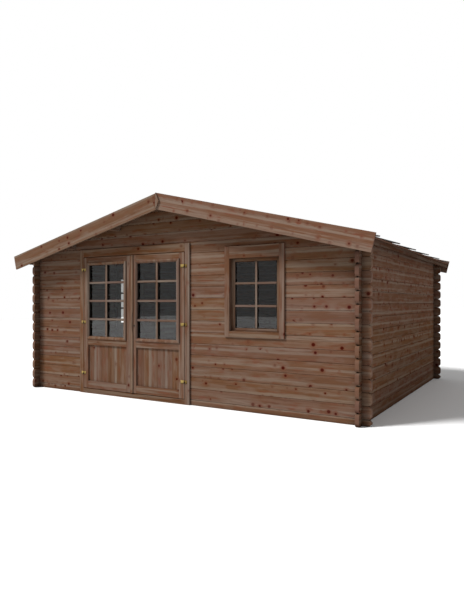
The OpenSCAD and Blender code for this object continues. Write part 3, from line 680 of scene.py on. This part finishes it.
lo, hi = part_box("floor_boards")
b = Build()
count = 34
w = (hi.y - lo.y) / count
for i in range(count):
    b.run(chamfered(lo.y + i * w + 0.0005, lo.y + (i + 1) * w - 0.0005, lo.z, hi.z, 0.002), (lo.x, hi.x), lambda u, v, x: (x, u, v))
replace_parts(b.object("floor_planks", FLOORWOOD, "cabin", grain_depth=Z, along=X), "floor_boards")

# ---------------------------------------------------------------- roof felt
FELT_FIRST, FELT_LAP, FELT_STEP, FELT_T, FELT_FRONT, FELT_RISE = 0.140, 0.080, 0.825, 0.013, 0.002, 0.014
FY0, FY1 = ROOF_Y0 + 0.0008, ROOF_Y1 - 0.0008
FELT_LEN = (EAVE + 0.010) / CP
sheets = [(FY0, FY0 + FELT_FIRST, FELT_RISE, FELT_T)]
sheets += [(FY0 + FELT_FIRST - FELT_LAP + i * FELT_STEP, FY0 + FELT_FIRST + (i + 1) * FELT_STEP, FELT_RISE, FELT_T) for i in range(5)]
sheets += [(FY0 + FELT_FIRST - FELT_LAP + 5 * FELT_STEP, FY1, 0.002, 0.005)]


def ripple(x, y, k):
    return 0.0011 * math.sin(3.1 * x + 1.7 * k) * math.sin(7.3 * y + 0.9 * k) + 0.0006 * math.sin(11.0 * x + 4.0 * y + k)


for side, s in (("right", 1), ("left", -1)):
    b = Build()
    for k, (a, e, rise, thick) in enumerate(sheets):
        nx, ny = 40, max(4, int((e - a) / 0.08))
        base = len(b.v)
        for layer in (0, 1):
            for i in range(nx + 1):
                for j in range(ny + 1):
                    u = 0.004 + (FELT_LEN - 0.004) * i / nx
                    y = a + (e - a) * j / ny
                    edge = min(1.0, j / 2, (ny - j) / 1.0 + 0.35)
                    h = 0.0005 + rise * (y - a) / (e - a) + (FELT_FRONT + (thick - FELT_FRONT) * (y - a) / (e - a)) * layer + max(0.0, ripple(u, y, k + 3 * s)) * edge * min(1, (nx - i) / 6)
                    x, z = u * CP + h * SP, -u * SP + h * CP
                    b.v.append((s * x, y, RIDGE + BOARD / CP + z))
        m = (nx + 1) * (ny + 1)

        def at(layer, i, j):
            return base + layer * m + i * (ny + 1) + j

        for i in range(nx):
            for j in range(ny):
                b.f.append((at(1, i, j), at(1, i + 1, j), at(1, i + 1, j + 1), at(1, i, j + 1)))
                b.f.append((at(0, i, j), at(0, i, j + 1), at(0, i + 1, j + 1), at(0, i + 1, j)))
        for i in range(nx):
            b.f.append((at(0, i, 0), at(0, i + 1, 0), at(1, i + 1, 0), at(1, i, 0)))
            b.f.append((at(0, i + 1, ny), at(0, i, ny), at(1, i, ny), at(1, i + 1, ny)))
        for j in range(ny):
            b.f.append((at(0, 0, j + 1), at(0, 0, j), at(1, 0, j), at(1, 0, j + 1)))
            b.f.append((at(0, nx, j), at(0, nx, j + 1), at(1, nx, j + 1), at(1, nx, j)))
    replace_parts(b.object(f"felt_sheets_{side}", FELT, "cabin", wooden=False), f"roof_felt_{side}")

lo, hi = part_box("ridge_felt")
b = Build()
zr = RIDGE + BOARD / CP + 0.030
rings = []
ny = 48
for j in range(ny + 1):
    y = lo.y + (hi.y - lo.y) * j / ny
    top, bot = [], []
    for i in range(17):
        x = -0.16 + 0.32 * i / 16
        z = zr - SLOPE * (math.sqrt(x * x + 0.0009) - 0.03 * 0.6)
        z = min(z, zr - SLOPE * abs(x) + 0.0)
        lift = 0.0012 * math.sin(5.0 * y + 3 * i) * (abs(x) / 0.16)
        top.append((x, y, z + 0.004 + max(lift, 0)))
        bot.append((x, y, z + max(lift, 0)))
    rings.append(top + list(reversed(bot)))
b.loops(rings)
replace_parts(b.object("ridge_cap", FELT, "cabin", wooden=False), "ridge_felt")

# ---------------------------------------------------------------- small fixings
def dome(b, at, n, r, h, slot_dir=None):
    """A low round head on a face: at is its foot, n the way it faces."""
    n = Vector(n).normalized()
    t1 = n.orthogonal().normalized()
    t2 = n.cross(t1)
    at = Vector(at)
    prof = [(1.0, 0.0), (1.0, 0.35), (0.86, 0.75), (0.5, 1.0)]
    rings = [[at + (t1 * math.cos(k * math.pi / 6) + t2 * math.sin(k * math.pi / 6)) * (r * q) + n * (h * hh) for k in range(12)] for q, hh in prof]
    b.loops(rings)


hinge_z = (0.285, 1.000, 1.735)
for body, node, xs in (("cabin", "door_frame_hinges", None), ("door_left", "door_left_hinges", None), ("door_right", "door_right_hinges", None)):
    b = Build()
    lo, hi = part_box(node)
    y = FACE - 0.003
    if body == "cabin":
        cols = [-1.505 - 0.024, 0.255 + 0.024]
    elif body == "door_left":
        cols = [-1.505 + 0.027]
    else:
        cols = [0.255 - 0.023, 0.255 - 0.045]
    for z in hinge_z:
        for x in cols:
            for dz in (-0.013, 0.011):
                dome(b, (x, y + 0.0001, z + dz), (0, -1, 0), 0.0036, 0.0010)
    b.object(node.replace("hinges", "screws"), BRASS, body, wooden=False)
# dark steel pin ends under each hinge barrel, standing in as painted shade for the barrel's shadow
b = Build()
for x in (-1.505, 0.255):
    for z in hinge_z:
        prof = [(0.0030, -0.0006), (0.0052, -0.0012), (0.0052, -0.0100), (0.0066, -0.0115), (0.0066, -0.0160), (0.0045, -0.0190), (0.0015, -0.0200)]
        b.loops([[(x + r * math.cos(k * math.pi / 8), FACE - 0.007 + r * math.sin(k * math.pi / 8), z + dz) for k in range(16)] for r, dz in prof])
b.object("hinge_pin_ends", STEEL, "cabin", wooden=False)

b = Build()
for s in (1, -1):
    for j in range(29):
        y = FY0 + 0.05 + (FY1 - FY0 - 0.1) * j / 28
        k = min(i for i, q in enumerate(sheets) if y <= q[1])
        a, e, rise, thick = sheets[k]
        for u in (FELT_LEN - 0.030,):
            h = 0.0005 + rise * (y - a) / (e - a) + FELT_FRONT + (thick - FELT_FRONT) * (y - a) / (e - a) + 0.0002
            x, z = u * CP + h * SP, -u * SP + h * CP
            dome(b, (s * x, y, RIDGE + BOARD / CP + z), (s * SP, 0, CP), 0.006, 0.0016)
b.object("felt_nails", STEEL, "cabin", wooden=False)

# ---------------------------------------------------------------- floor, light, camera
me = bpy.data.meshes.new("studio_floor")
me.from_pydata([(-26, -36, 0), (60, -36, 0), (60, 90, 0), (-26, 90, 0)], [], [(0, 1, 2, 3)])
floor = bpy.data.objects.new("studio_floor", me)
scene.collection.objects.link(floor)
t = Tree("studio_floor")
me.materials.append(t.surface(Base_Color=(0.80, 0.80, 0.80, 1), Roughness=0.9, Specular_IOR_Level=0.0))
floor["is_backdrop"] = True

world = bpy.data.worlds.new("studio")
scene.world = world
world.use_nodes = True
nt = world.node_tree
nt.nodes.clear()
out = nt.nodes.new("ShaderNodeOutputWorld")
soft = nt.nodes.new("ShaderNodeBackground")
soft.inputs[0].default_value = (1.0, 1.0, 1.0, 1)
soft.inputs[1].default_value = 0.485
seen = nt.nodes.new("ShaderNodeBackground")
seen.inputs[0].default_value = (1, 1, 1, 1)
seen.inputs[1].default_value = 1.0
path = nt.nodes.new("ShaderNodeLightPath")
both = nt.nodes.new("ShaderNodeMixShader")
nt.links.new(path.outputs["Is Camera Ray"], both.inputs[0])
nt.links.new(soft.outputs[0], both.inputs[1])
nt.links.new(seen.outputs[0], both.inputs[2])
nt.links.new(both.outputs[0], out.inputs[0])

sun = bpy.data.lights.new("key", "SUN")
sun.energy = 5.03
sun.angle = math.radians(16)
key = bpy.data.objects.new("key", sun)
key.rotation_mode = "QUATERNION"
key.rotation_quaternion = Vector((1.0, 1.0, -1.544)).to_track_quat("-Z", "Y")
scene.collection.objects.link(key)

cam = bpy.data.cameras.new("camera")
cam.lens = 31.83
cam.sensor_width = 36.0
cam.sensor_fit = "AUTO"
cam.shift_y = 0.00267
cam.clip_end = 400
eye = bpy.data.objects.new("camera", cam)
eye.location = (4.17, -7.326, 1.288)
eye.rotation_euler = (math.radians(90), 0, math.radians(30.97))
scene.collection.objects.link(eye)
scene.camera = eye
scene.view_settings.view_transform = "Standard"

lo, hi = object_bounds()
